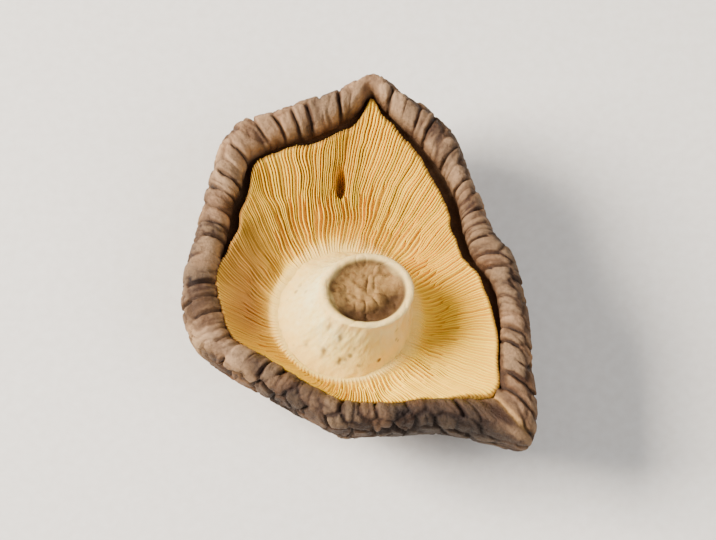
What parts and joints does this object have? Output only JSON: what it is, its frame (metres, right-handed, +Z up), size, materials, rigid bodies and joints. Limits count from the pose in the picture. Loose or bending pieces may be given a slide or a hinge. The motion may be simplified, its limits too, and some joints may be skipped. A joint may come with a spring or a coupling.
{
  "type": "shiitake mushroom",
  "caption": "Dried shiitake mushroom lying gill side up, with a cracked brown domed cap, a rolled beaded rim, cream radial gills and a short trimmed stem stub",
  "frame": {"origin": "on the surface that the mushroom rests on, under the middle of its bounding box", "axes": "+Z up, out of the gill side; +Y along the cap's longest direction, toward its rounded tip; +X across, toward the side that the stem leans to"},
  "size_m": [0.0395, 0.0454, 0.0176],
  "materials": {
    "cap_skin": "matte",
    "gill_tissue": "matte",
    "stem_tissue": "matte"
  },
  "bodies": {
    "root": {"cap": "cap_skin", "gills": "gill_tissue", "stem": "stem_tissue"}
  },
  "joints": []
}
